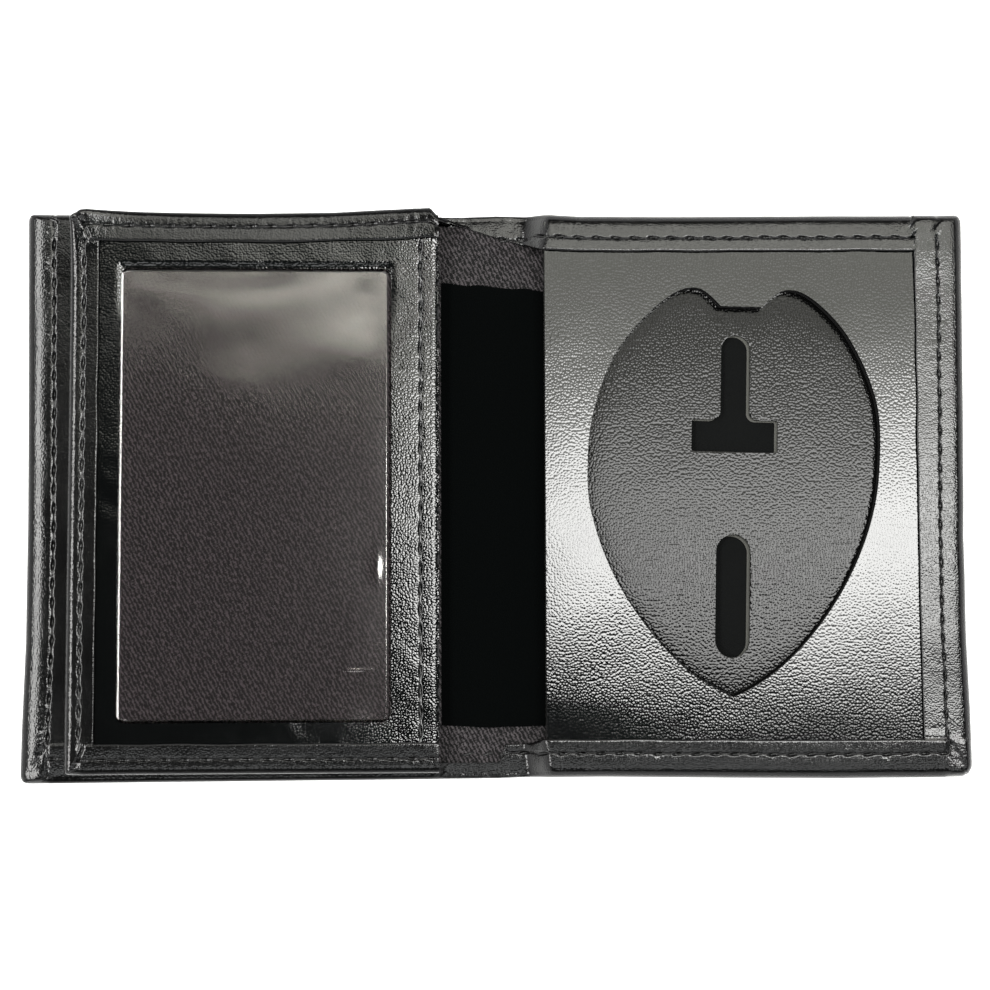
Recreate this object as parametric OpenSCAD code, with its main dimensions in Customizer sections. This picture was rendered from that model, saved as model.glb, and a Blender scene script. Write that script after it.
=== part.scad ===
// Bifold leather wallet for a badge and an identity card, lying open and flat on its back.
// X runs across the open wallet, Y up its height and Z up from the table.
// The origin is on the table under the middle of the wallet.

/* [Open wallet] */
// Width of the open wallet across both covers
open_w = 180; // [178:1:190]
// Height of the wallet
wallet_h = 108; // [107:1:116]
// Distance between the two folds of the spine
spine_w = 12; // [11:0.5:13]

/* [Shell] */
// Thickness of the shell leather
shell_t = 1.2; // [1:0.1:1.5]
// Thickness of the shell leather where it is turned in over the edges
turn_t = 0.7; // [0.6:0.1:0.9]
// Leather wrapped round the edges, outside what the shell holds
edge_wall = 1.8; // [1.6:0.1:2.2]
// Width of the turned-in edge at the outer sides
side_turn_w = 9.7; // [9:0.1:11]
// Width of the turned-in edge at the top and bottom
end_turn_w = 7.3; // [7:0.1:8.5]
// Thickness of the twill lining
lining_t = 0.3; // [0.2:0.05:0.4]
// Thickness of the stiffening card let into the shell
board_t = 0.5; // [0.3:0.1:0.6]
// Distance from the edges of a cover to its stiffening card
board_margin = 12; // [11:1:16]
// Distance from a fold to the stiffening card beside it
board_fold_gap = 8; // [7:1:12]

/* [Spine strip] */
// Thickness of the smooth strip over the spine
strip_t = 0.6; // [0.3:0.1:0.6]
// Distance from each end of the strip to the turned-in edge, before its drop
strip_margin = 4; // [2.4:0.1:8]
// Distance that the middle of the strip lies below the middle of the wallet
strip_drop = 1.6; // [0:0.1:2]

/* [Left cover pocket] */
// Distance from the fold to the open edge of the left pocket
left_step = 6; // [5.8:0.1:7]
// Slack room in each slip pocket
pocket_gap = 0.3; // [0.2:0.1:0.5]
// Thickness of the pocket leather
panel_t = 0.7; // [0.5:0.1:1]

/* [Badge panel] */
// Distance from the fold to the free edge of the badge panel
right_step = 3.1; // [2.6:0.1:5]
// Thickness of the felt behind the slots
felt_t = 0.5; // [0.3:0.1:0.8]
// Thickness of the leather that the badge lies on
seat_t = 0.8; // [0.6:0.1:1.2]
// Thickness of the board that makes the depth of the recess
core_t = 2; // [1.4:0.1:2.6]
// Thickness of the grained face leather
face_t = 0.6; // [0.4:0.1:0.9]

/* [Badge recess] */
// Distance from the free edge of the panel to the shield-shaped recess
shield_inner_margin = 8.7; // [7.5:0.1:11]
// Distance from the turned-in edge at the outer side to the recess
shield_outer_margin = 7.5; // [6.5:0.1:10]
// Distance from the turned-in edge at the top to the two humps of the recess
shield_top_margin = 7.4; // [6.5:0.1:10]
// Distance from the turned-in edge at the bottom to the tip of the recess
shield_foot_margin = 8; // [7:0.1:10]
// Lean of the recess to the right, in degrees
shield_lean = 1.5; // [0:0.1:2]
// Distance from the humps down to the round top of the T slot
t_drop = 8.7; // [7:0.1:10]
// Length of the T slot from its round top to the foot of its bar
t_len = 22.6; // [20:0.1:26]
// Width of the stem of the T slot
t_stem_w = 5.6; // [5.2:0.1:6.4]
// Width of the bar of the T slot
t_bar_w = 16.6; // [14:0.1:19]
// Height of the bar of the T slot
t_bar_h = 6.2; // [5:0.1:7]
// Radius of the hollow corners between stem and bar
t_fillet_r = 1.6; // [1:0.1:2]
// Distance from the humps down to the top of the oblong slot
oblong_drop = 47.2; // [44:0.1:48]
// Length of the oblong slot
oblong_len = 23.4; // [18:0.1:24]
// Width of the oblong slot
oblong_w = 6.6; // [5.4:0.1:8]

/* [Flip-out leaf] */
// Width of the leaf
leaf_w = 70; // [68:0.5:71]
// Height of the leaf
leaf_h = 106; // [104:0.5:106.5]
// Distance from the fold to the open edge of the leaf
leaf_gap = 5.2; // [5:0.1:6]
// Height of the middle of the leaf over the middle of the wallet
leaf_rise = 0.4; // [0:0.1:0.5]
// Thickness of the leather that backs and binds the leaf
bind_t = 0.7; // [0.5:0.1:0.9]
// Leather wrapped round the leaf's edges
bind_wall = 1; // [0.9:0.1:1.3]
// Width of the binding turned over the front at the side, top and bottom
bind_turn_w = 5.6; // [5:0.1:6]
// Thickness of each clear window sheet
vinyl_t = 0.2; // [0.15:0.05:0.3]
// Thickness of the twill between the two card pockets
divider_t = 0.3; // [0.2:0.05:0.4]
// Thickness of the grained front frame
frame_t = 0.6; // [0.4:0.1:0.9]
// Radius of the window's corners
window_r = 1.8; // [1:0.1:3]
// Width of the frame between the window and the open edge
window_margin = 9; // [8:0.1:9.4]
// Distance from the far edge of the leaf to the window
window_far_margin = 9.5; // [8:0.1:9.9]
// Distance from the top and bottom edges of the leaf to the window
window_end_margin = 9.15; // [8:0.05:9.6]
// Height of the middle of the window over the middle of the leaf
window_rise = 0.35; // [0:0.05:0.5]

/* [Leaf hinge] */
// Width of the folded strip that joins the leaf to the left cover
hinge_w = 13; // [10:0.5:16]
// Distance from each end of the strip to the turned-in edge beside it
hinge_margin = 1.7; // [1:0.1:4]
// Distance from the open edge of the leaf to the fold of the strip
hinge_reach = 0.3; // [0.2:0.1:0.6]

/* [Stitching] */
// Distance from one stitch to the next
stitch_pitch = 3.5; // [3.2:0.1:4.2]
// Length of thread that shows in one stitch
stitch_len = 2.7; // [2.2:0.1:2.8]
// Width of the thread
stitch_w = 0.7; // [0.5:0.05:0.8]
// Height of the thread over the leather
stitch_h = 0.3; // [0.2:0.05:0.4]
// Distance from the outer sides to the seam
side_seam = 5.2; // [4.6:0.1:6]
// Distance from the top and bottom edges to the seam
end_seam = 4.7; // [4.2:0.1:5.4]
// Distance from the edges of the leaf to its seam
leaf_seam = 2.8; // [2.4:0.1:3.4]
// Distance from the open edge of the leaf to its hem seam
hem_seam = 3.5; // [3:0.1:4.5]

/* [Hidden] */
// Facets of a full circle
$fn = 48;
// How far a cut runs past the leather that it cuts
overrun = 1;
// Clearance between the shell and the pieces that it holds
fit_gap = 0.1;
// Steps along each curve of the shield outline
curve_steps = 14;

// Heights of the layers, from the table up
lining_z = shell_t;
strip_z = lining_z + lining_t;
spine_t = strip_z + turn_t;
pocket_z = strip_z + pocket_gap;
left_turn_z = pocket_z + panel_t;
left_t = left_turn_z + turn_t;
leaf_z = left_t + stitch_h;
seat_z = pocket_z + felt_t;
core_z = seat_z + seat_t;
face_z = core_z + core_t;
right_turn_z = face_z + face_t;
right_t = right_turn_z + turn_t;

// Heights of the leaf's layers, from its underside up
back_vinyl_z = bind_t;
divider_z = back_vinyl_z + vinyl_t;
front_vinyl_z = divider_z + divider_t;
frame_z = front_vinyl_z + vinyl_t;
leaf_turn_z = frame_z + frame_t;
leaf_t = leaf_turn_z + bind_t;

// Places across the open wallet
half_w = open_w / 2;
fold_x = spine_w / 2;
left_edge_x = fold_x + left_step;
right_edge_x = fold_x + right_step;
leaf_open_x = -fold_x - leaf_gap;
leaf_far_x = leaf_open_x - leaf_w;
hinge_fold_x = leaf_open_x + hinge_reach;

// Heights of the inner room and of the face that shows between the turned edges
room_h = wallet_h - 2 * edge_wall;
held_h = room_h - 2 * fit_gap;
held_x = half_w - edge_wall - fit_gap;
face_h = wallet_h - 2 * end_turn_w;
board_h = wallet_h - 2 * board_margin;
hinge_h = face_h - 2 * hinge_margin;
strip_h = face_h - 2 * strip_margin;
leaf_room_h = leaf_h - 2 * bind_wall;
leaf_held_h = leaf_room_h - 2 * fit_gap;
leaf_held_x = leaf_far_x + bind_wall + fit_gap;
window_w = leaf_w - window_margin - window_far_margin;
window_h = leaf_h - 2 * window_end_margin;

// Size and middle of the recess, between its margins
shield_right_x = half_w - side_turn_w - shield_outer_margin;
shield_w = shield_right_x - right_edge_x - shield_inner_margin;
shield_x = shield_right_x - shield_w / 2;
shield_h = face_h - shield_top_margin - shield_foot_margin;
shield_y = (shield_foot_margin - shield_top_margin) / 2;

// Control points of the right half of the shield: x as a share of half its width,
// y as a share of its height from the tip
lower_side_shares = [[0, 0], [0.5, 0.07], [1, 0.34], [1, 0.576]];
upper_side_shares = [[1, 0.576], [1, 0.8], [0.58, 1], [0.35, 1]];
hump_shares = [[0.35, 1], [0.285, 1], [0.27, 1], [0.138, 0.956]];

// Colours of the finished wallet
leather_colour = "#1d1d1e";
grain_colour = "#2b2c2b";
twill_colour = "#141416";
strip_colour = "#050506";
board_colour = "#8a7a62";
felt_colour = "#232325";
vinyl_colour = [0.75, 0.77, 0.78, 0.25];
thread_colour = "#101011";

// A point on a curve with four control points
function curve_point(p, t) =
    pow(1 - t, 3) * p[0] + 3 * pow(1 - t, 2) * t * p[1]
    + 3 * (1 - t) * pow(t, 2) * p[2] + pow(t, 3) * p[3];

// The points of a curve, without its last one
function curve(p) = [for (i = [0 : curve_steps - 1]) curve_point(p, i / curve_steps)];

// A plain block, centred on the wallet's middle line
module block(x0, x1, h, z0, z1) {
    translate([x0, -h / 2, z0]) cube([x1 - x0, h, z1 - z0]);
}

// A band along X whose long edges are rounded over
module edge_band(x0, x1, h, t) {
    translate([x0, 0, t / 2])
        rotate([90, 0, 90])
            linear_extrude(x1 - x0) {
                square([h - t, t], center = true);
                for (side = [-1, 1]) translate([side * (h - t) / 2, 0]) circle(d = t);
            }
}

// A slab with rounded edges on three sides and a square end at x1
module turned_slab(x0, x1, h, t) {
    intersection() {
        edge_band(x0, x1, h, t);
        translate([0, h / 2, 0])
            rotate([90, 0, 0])
                linear_extrude(h) {
                    translate([x0 + t / 2, 0]) square([x1 - x0 - t / 2, t]);
                    translate([x0 + t / 2, t / 2]) circle(d = t);
                }
    }
}

// Shell leather of one cover, drawn on the left: thin beside the fold and
// thicker from the step on, with its edges turned in over what it holds
module shell_cover(step_x, cover_t) {
    difference() {
        union() {
            turned_slab(-half_w, -step_x, wallet_h, cover_t);
            edge_band(-step_x, -fold_x, wallet_h, spine_t);
        }
        block(-half_w + edge_wall, -step_x, room_h, lining_z, cover_t - turn_t);
        block(-half_w + side_turn_w, -step_x, face_h, lining_z, cover_t + overrun);
        block(-step_x - overrun, -fold_x + overrun, room_h, lining_z, strip_z);
        block(-step_x - overrun, -fold_x + overrun, face_h, lining_z, cover_t + overrun);
        block(-half_w + board_margin, -fold_x - board_fold_gap, board_h, shell_t - board_t, shell_t + overrun);
    }
}

// Stiffening card let into the shell of one cover, drawn on the left
module cover_board() {
    block(-half_w + board_margin + fit_gap, -fold_x - board_fold_gap - fit_gap,
        board_h - 2 * fit_gap, shell_t - board_t, shell_t);
}

// Lining of one cover, drawn on the left
module cover_lining() {
    block(-held_x, -fold_x, held_h, lining_z, strip_z);
}

// Part of the smooth strip between two places
module strip_part(x0, x1) {
    translate([0, -strip_drop, 0]) block(x0, x1, strip_h, strip_z, strip_z + strip_t);
}

// One stitch lying along X on the leather
module stitch() {
    linear_extrude(stitch_h) {
        square([stitch_len - stitch_w, stitch_w], center = true);
        for (side = [-1, 1])
            translate([side * (stitch_len - stitch_w) / 2, 0]) circle(d = stitch_w, $fn = 16);
    }
}

// A seam of equal stitches from one place to another, at a height
module seam(from, to, z) {
    run = to - from;
    run_len = norm(run);
    count = max(1, floor(run_len / stitch_pitch));
    for (i = [0 : count - 1])
        translate([from[0] + run[0] * (i + 0.5) / count, from[1] + run[1] * (i + 0.5) / count, z])
            rotate([0, 0, atan2(run[1], run[0])])
                stitch();
}

// Seam along the side, top and bottom of one cover, drawn on the left
module cover_seams(step_x, z) {
    seam_x = half_w - side_seam;
    seam_y = wallet_h / 2 - end_seam;
    seam([-seam_x, -seam_y], [-seam_x, seam_y], z);
    for (side = [-1, 1]) seam([-seam_x, side * seam_y], [-step_x, side * seam_y], z);
}

// Outline of the shield-shaped recess, upright, from its tip at the foot
module shield_outline() {
    half = concat(curve(lower_side_shares), curve(upper_side_shares), curve(hump_shares),
        [hump_shares[3]]);
    size = [shield_w / 2, shield_h];
    right = [for (p = half) [p[0] * size[0], p[1] * size[1]]];
    left = [for (i = [len(right) - 1 : -1 : 1]) [-right[i][0], right[i][1]]];
    translate([0, -shield_h / 2]) polygon(concat(right, left));
}

// Outline of the T slot, upright, hanging from its round top
module t_slot_outline() {
    bar_top = -t_len + t_bar_h;
    translate([0, -t_stem_w / 2]) circle(d = t_stem_w);
    translate([-t_stem_w / 2, -t_len]) square([t_stem_w, t_len - t_stem_w / 2]);
    translate([-t_bar_w / 2, -t_len]) square([t_bar_w, t_bar_h]);
    for (side = [-1, 1])
        translate([side * (t_stem_w + t_fillet_r) / 2, bar_top + t_fillet_r / 2])
            difference() {
                square(t_fillet_r, center = true);
                translate([side * t_fillet_r / 2, t_fillet_r / 2]) circle(t_fillet_r);
            }
}

// Outline of the oblong slot, hanging from its round top
module oblong_outline() {
    translate([-oblong_w / 2, -oblong_len + oblong_w / 2]) square([oblong_w, oblong_len - oblong_w]);
    for (y = [-oblong_w / 2, -oblong_len + oblong_w / 2]) translate([0, y]) circle(d = oblong_w);
}

// Places a shape of the badge recess on the right cover
module at_shield() {
    translate([shield_x, shield_y, 0]) rotate([0, 0, -shield_lean]) children();
}

// One flat layer of the badge panel
module badge_layer(z, t) {
    block(right_edge_x, held_x, held_h, z, z + t);
}

// The shield-shaped hole through a layer of the badge panel
module shield_cut(z, t) {
    at_shield() translate([0, 0, z - overrun]) linear_extrude(t + 2 * overrun) shield_outline();
}

// Rounded outline of the leaf's window
module window_outline() {
    square([window_w - 2 * window_r, window_h], center = true);
    square([window_w, window_h - 2 * window_r], center = true);
    for (x = [-1, 1], y = [-1, 1])
        translate([x * (window_w / 2 - window_r), y * (window_h / 2 - window_r)]) circle(window_r);
}

// The window cut through a layer of the leaf
module window_cut(z, t) {
    translate([leaf_open_x - window_margin - window_w / 2, window_rise, z - overrun])
        linear_extrude(t + 2 * overrun) window_outline();
}

// Places the leaf's own layers over the left cover
module at_leaf() {
    translate([0, leaf_rise, leaf_z]) children();
}

// One flat layer inside the leaf's binding
module leaf_layer(z, t) {
    block(leaf_held_x, leaf_open_x, leaf_held_h, z, z + t);
}

module left_cover_leather() {
    color(leather_colour) shell_cover(left_edge_x, left_t);
}

module left_cover_board() {
    color(board_colour) cover_board();
}

module left_cover_lining() {
    color(twill_colour) cover_lining();
}

module left_pocket_panel() {
    color(leather_colour) block(-held_x, -left_edge_x, held_h, pocket_z, left_turn_z);
}

module left_strip_end() {
    color(strip_colour) strip_part(-left_edge_x + fit_gap, -fold_x);
}

module left_cover_stitching() {
    color(thread_colour) cover_seams(left_edge_x, left_t);
}

module spine_leather() {
    color(leather_colour)
        difference() {
            edge_band(-fold_x, fold_x, wallet_h, spine_t);
            block(-fold_x - overrun, fold_x + overrun, room_h, lining_z, strip_z);
            block(-fold_x - overrun, fold_x + overrun, face_h, lining_z, spine_t + overrun);
        }
}

module spine_lining() {
    color(twill_colour) block(-fold_x, fold_x, held_h, lining_z, strip_z);
}

module spine_strip() {
    color(strip_colour) strip_part(-fold_x, fold_x);
}

module spine_stitching() {
    seam_y = wallet_h / 2 - end_seam;
    color(thread_colour)
        for (side = [-1, 1]) seam([-fold_x, side * seam_y], [fold_x, side * seam_y], spine_t);
}

module right_cover_leather() {
    color(leather_colour) mirror([1, 0, 0]) shell_cover(right_edge_x, right_t);
}

module right_cover_board() {
    color(board_colour) mirror([1, 0, 0]) cover_board();
}

module right_cover_lining() {
    color(twill_colour) mirror([1, 0, 0]) cover_lining();
}

module right_strip_end() {
    color(strip_colour) strip_part(fold_x, right_edge_x - fit_gap);
}

module badge_backing_felt() {
    color(felt_colour) badge_layer(pocket_z, felt_t);
}

module badge_seat_leather() {
    color(grain_colour)
        difference() {
            badge_layer(seat_z, seat_t);
            at_shield()
                translate([0, 0, seat_z - overrun])
                    linear_extrude(seat_t + 2 * overrun) {
                        translate([0, shield_h / 2 - t_drop]) t_slot_outline();
                        translate([0, shield_h / 2 - oblong_drop]) oblong_outline();
                    }
        }
}

module badge_panel_core() {
    color(board_colour)
        difference() {
            badge_layer(core_z, core_t);
            shield_cut(core_z, core_t);
        }
}

module badge_panel_face() {
    color(grain_colour)
        difference() {
            badge_layer(face_z, face_t);
            shield_cut(face_z, face_t);
        }
}

module right_cover_stitching() {
    color(thread_colour) mirror([1, 0, 0]) cover_seams(right_edge_x, right_t);
}

// A strip folded on itself, with its round fold towards the spine
module leaf_hinge_strip() {
    strip_fold = leaf_z - left_turn_z;
    color(twill_colour)
        translate([hinge_fold_x, 0, left_turn_z])
            mirror([1, 0, 0])
                translate([0, hinge_h / 2, 0])
                    rotate([90, 0, 0])
                        linear_extrude(hinge_h) {
                            translate([strip_fold / 2, 0]) square([hinge_w - strip_fold / 2, strip_fold]);
                            translate([strip_fold / 2, strip_fold / 2]) circle(d = strip_fold);
                        }
}

module leaf_binding_leather() {
    color(leather_colour)
        at_leaf()
            difference() {
                turned_slab(leaf_far_x, leaf_open_x, leaf_h, leaf_t);
                block(leaf_far_x + bind_wall, leaf_open_x + overrun, leaf_room_h, bind_t, leaf_turn_z);
                block(leaf_far_x + bind_turn_w, leaf_open_x + overrun, leaf_h - 2 * bind_turn_w,
                    bind_t, leaf_t + overrun);
                window_cut(0, bind_t);
            }
}

module leaf_back_window() {
    color(vinyl_colour) at_leaf() leaf_layer(back_vinyl_z, vinyl_t);
}

module leaf_divider() {
    color(twill_colour) at_leaf() leaf_layer(divider_z, divider_t);
}

module leaf_front_window() {
    color(vinyl_colour) at_leaf() leaf_layer(front_vinyl_z, vinyl_t);
}

module leaf_front_frame() {
    color(grain_colour)
        at_leaf()
            difference() {
                leaf_layer(frame_z, frame_t);
                window_cut(frame_z, frame_t);
            }
}

module leaf_stitching() {
    seam_x = leaf_far_x + leaf_seam;
    seam_y = leaf_h / 2 - leaf_seam;
    color(thread_colour)
        at_leaf() {
            seam([seam_x, -seam_y], [seam_x, seam_y], leaf_t);
            for (side = [-1, 1]) seam([seam_x, side * seam_y], [leaf_open_x, side * seam_y], leaf_t);
        }
}

module leaf_hem_stitching() {
    seam_x = leaf_open_x - hem_seam;
    seam_y = leaf_h / 2 - bind_turn_w;
    color(thread_colour) at_leaf() seam([seam_x, -seam_y], [seam_x, seam_y], leaf_turn_z);
}

left_cover_leather();
left_cover_board();
left_cover_lining();
left_pocket_panel();
left_strip_end();
left_cover_stitching();
spine_leather();
spine_lining();
spine_strip();
spine_stitching();
right_cover_leather();
right_cover_board();
right_cover_lining();
right_strip_end();
badge_backing_felt();
badge_seat_leather();
badge_panel_core();
badge_panel_face();
right_cover_stitching();
leaf_hinge_strip();
leaf_binding_leather();
leaf_back_window();
leaf_divider();
leaf_front_window();
leaf_front_frame();
leaf_stitching();
leaf_hem_stitching();
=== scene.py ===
import math

import bpy
import numpy as np
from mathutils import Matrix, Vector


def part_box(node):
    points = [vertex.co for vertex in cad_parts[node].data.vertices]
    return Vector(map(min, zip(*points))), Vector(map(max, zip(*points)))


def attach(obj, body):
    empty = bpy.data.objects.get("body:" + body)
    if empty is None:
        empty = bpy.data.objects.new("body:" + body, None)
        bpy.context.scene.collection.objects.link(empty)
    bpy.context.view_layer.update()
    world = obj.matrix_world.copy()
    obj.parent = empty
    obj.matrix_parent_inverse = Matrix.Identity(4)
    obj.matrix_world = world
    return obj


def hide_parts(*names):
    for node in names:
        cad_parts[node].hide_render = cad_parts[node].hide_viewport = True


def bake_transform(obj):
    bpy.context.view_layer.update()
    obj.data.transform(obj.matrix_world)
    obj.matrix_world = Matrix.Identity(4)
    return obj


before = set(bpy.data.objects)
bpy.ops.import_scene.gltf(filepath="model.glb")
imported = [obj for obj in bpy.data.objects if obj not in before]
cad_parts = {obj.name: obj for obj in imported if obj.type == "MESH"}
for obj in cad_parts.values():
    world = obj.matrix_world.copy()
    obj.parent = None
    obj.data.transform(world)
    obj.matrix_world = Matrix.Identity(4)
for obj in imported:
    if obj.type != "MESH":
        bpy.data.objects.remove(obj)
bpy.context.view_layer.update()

# All sizes below are in millimetres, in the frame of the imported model
MM = 0.001


def node_box(node):
    """Lowest and highest corner of a CAD node, in millimetres."""
    low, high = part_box(node)
    return np.array(low) / MM, np.array(high) / MM


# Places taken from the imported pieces
shell_high = node_box("right_cover_leather")[1]
left_high = node_box("left_cover_leather")[1]
spine_high = node_box("spine_leather")[1]
panel_low, panel_high = node_box("badge_panel_face")
seat_low, seat_high = node_box("badge_seat_leather")
core_low, core_high = node_box("badge_panel_core")
felt_low, felt_high = node_box("badge_backing_felt")
pocket_low, pocket_high = node_box("left_pocket_panel")
lining_low, lining_high = node_box("right_cover_lining")
strip_low, strip_high = node_box("spine_strip")
strip_left_x = node_box("left_strip_end")[0][0]
strip_right_x = node_box("right_strip_end")[1][0]
bind_low, bind_high = node_box("leaf_binding_leather")
leaf_frame_low, leaf_frame_high = node_box("leaf_front_frame")
hinge_low, hinge_high = node_box("leaf_hinge_strip")

# The open wallet's half width and half length, and the thickness of each part of the shell
OUT_X, HALF_Y, RIGHT_T = shell_high
LEFT_T = left_high[2]
SPINE_T = spine_high[2]

# The leaf's open side, its width, the middle and half of its length, and its thickness
LEAF_OPEN_X = bind_high[0]
LEAF_W = bind_high[0] - bind_low[0]
LEAF_Y = (bind_high[1] + bind_low[1]) / 2
LEAF_HALF_Y = (bind_high[1] - bind_low[1]) / 2
LEAF_T = bind_high[2] - bind_low[2]

# The shell's leather, and from the photograph how wide its edges are turned in, how far in the
# seams run and how long a stitch is with its gap
LEATHER_T = 0.7
SIDE_FLANGE, END_FLANGE, LEAF_FLANGE = 9.7, 7.3, 5.6
SIDE_SEAM, END_SEAM, LEAF_SEAM = 5.2, 4.7, 2.8
STITCH_PITCH, LEAF_PITCH = 3.6, 3.85
HEM_SEAM_X = -14.7

# The opening of the leaf's window and the radius of its corners
WINDOW_X = (-71.7, -20.2)
WINDOW_Y = (-43.1, 43.1)
WINDOW_R = 1.8

# A piece that crosses a fold is handed the spine, its cover and two places 3 mm and 9 mm off the
# middle of the spine; the script only fixes such a piece where it stands
to_left = ("spine", "left_cover", (-0.003, 0, 0), (-0.009, 0, 0))
to_right = ("spine", "right_cover", (0.003, 0, 0), (0.009, 0, 0))


# Small tools for numbers

def smooth(low, high, value):
    """0 below low, 1 above high and a smooth step between them."""
    share = np.clip((value - low) / (high - low), 0, 1)
    return share * share * (3 - 2 * share)


def bell(value, width):
    """1 at zero, falling away on both sides."""
    return np.exp(-(value / width) ** 2)


def ripple(points, wavelength, seed, stretch=(1, 1, 1), waves=20):
    """Even random waves over points, about one high."""
    rng = np.random.default_rng(seed)
    ways = rng.normal(size=(waves, points.shape[-1]))
    ways /= np.linalg.norm(ways, axis=1)[:, None]
    ways *= (2 * np.pi / (wavelength * rng.uniform(0.7, 1.5, waves)))[:, None]
    ways /= np.array(stretch[:points.shape[-1]])
    phases = rng.uniform(0, 2 * np.pi, waves)
    return np.cos(points @ ways.T + phases).sum(-1) / math.sqrt(waves / 2)


def ripple_along(value, wavelength, seed):
    """Even random waves along one line."""
    return ripple(value[..., None], wavelength, seed)


def ripple_over(x, y, wavelength, seed, stretch=(1, 1)):
    """Even random waves over a flat sheet."""
    return ripple(np.stack([x, y], -1), wavelength, seed, stretch)


def fade(value, width):
    """1 at zero and below, falling away above."""
    return np.exp(-np.maximum(value, 0) / width)


# Small tools for pieces

def alone(piece):
    """Selects a piece and nothing else."""
    bpy.ops.object.select_all(action="DESELECT")
    piece.select_set(True)
    bpy.context.view_layer.objects.active = piece


def new_grid(name, columns, rows):
    """A flat grid whose vertices run along its columns first."""
    bpy.ops.object.select_all(action="DESELECT")
    bpy.ops.mesh.primitive_grid_add(x_subdivisions=columns - 1, y_subdivisions=rows - 1, size=1)
    piece = bpy.context.object
    piece.name = piece.data.name = name
    return piece


def get_points(piece):
    """The places of a piece's vertices, in millimetres."""
    points = np.empty(len(piece.data.vertices) * 3, np.float32)
    piece.data.vertices.foreach_get("co", points)
    return points.reshape(-1, 3).astype(float) / MM


def set_points(piece, points):
    """Moves a piece's vertices to places in millimetres."""
    piece.data.vertices.foreach_set("co", (points * MM).astype(np.float32).ravel())
    piece.data.update()


def normals_of(piece):
    """The direction that each vertex faces."""
    normals = np.empty(len(piece.data.vertices) * 3, np.float32)
    piece.data.vertex_normals.foreach_get("vector", normals)
    return normals.reshape(-1, 3).astype(float)


def apply_modifier(piece, kind, **settings):
    """Adds a modifier with its settings and applies it."""
    modifier = piece.modifiers.new(kind.lower(), kind)
    for name, value in settings.items():
        setattr(modifier, name, value)
    alone(piece)
    bpy.ops.object.modifier_apply(modifier=modifier.name)


def in_edit_mode(piece, step, select_all=True):
    """Takes one modelling step on the whole of a piece, or on what is selected in it."""
    alone(piece)
    bpy.ops.object.mode_set(mode="EDIT")
    if select_all:
        bpy.ops.mesh.select_all(action="SELECT")
    step()
    bpy.ops.object.mode_set(mode="OBJECT")


def face_outwards():
    bpy.ops.mesh.normals_make_consistent(inside=False)


def thicken(piece, thickness):
    """Gives a sheet its thickness under its upper side."""
    if piece.data.polygons[0].normal.z <= 0:
        in_edit_mode(piece, bpy.ops.mesh.flip_normals)
    apply_modifier(piece, "SOLIDIFY", thickness=thickness * MM, offset=-1)


def finish_piece(piece, material, slot, body, *nodes, angle=40):
    """Shades a piece, gives it its finish, hides the CAD parts it stands for, and hangs it on the
    body it rides on, or only fixes it in place when it crosses a fold.
    """
    alone(piece)
    bpy.ops.object.shade_smooth_by_angle(angle=math.radians(angle))
    piece.data.materials.clear()
    piece.data.materials.append(material)
    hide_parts(*nodes)
    if isinstance(body, str):
        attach(piece, body)
    else:
        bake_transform(piece)


def select_edges(piece, chosen):
    """Selects the edges whose two ends are among the chosen vertices."""
    alone(piece)
    for vertex in piece.data.vertices:
        vertex.select = False
    for face in piece.data.polygons:
        face.select = False
    for edge in piece.data.edges:
        a, b = edge.vertices
        edge.select = bool(chosen[a] and chosen[b])


# Finishes

def linear(hex_colour):
    """The linear colour of an sRGB hex value."""
    parts = [int(hex_colour[i:i + 2], 16) / 255 for i in (1, 3, 5)]
    return [p / 12.92 if p <= 0.04045 else ((p + 0.055) / 1.055) ** 2.4 for p in parts] + [1]


def new_material(name):
    """A material and its empty tree."""
    material = bpy.data.materials.new(name)
    material.use_nodes = True
    material.node_tree.nodes.clear()
    return material, material.node_tree


def add(tree, kind, settings=None, sockets=None):
    """Adds a node, sets its properties, and fills its sockets with values or links."""
    made = tree.nodes.new(kind)
    for name, value in (settings or {}).items():
        setattr(made, name, value)
    for name, value in (sockets or {}).items():
        if isinstance(value, bpy.types.NodeSocket):
            tree.links.new(value, made.inputs[name])
        else:
            made.inputs[name].default_value = value
    return made


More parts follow.
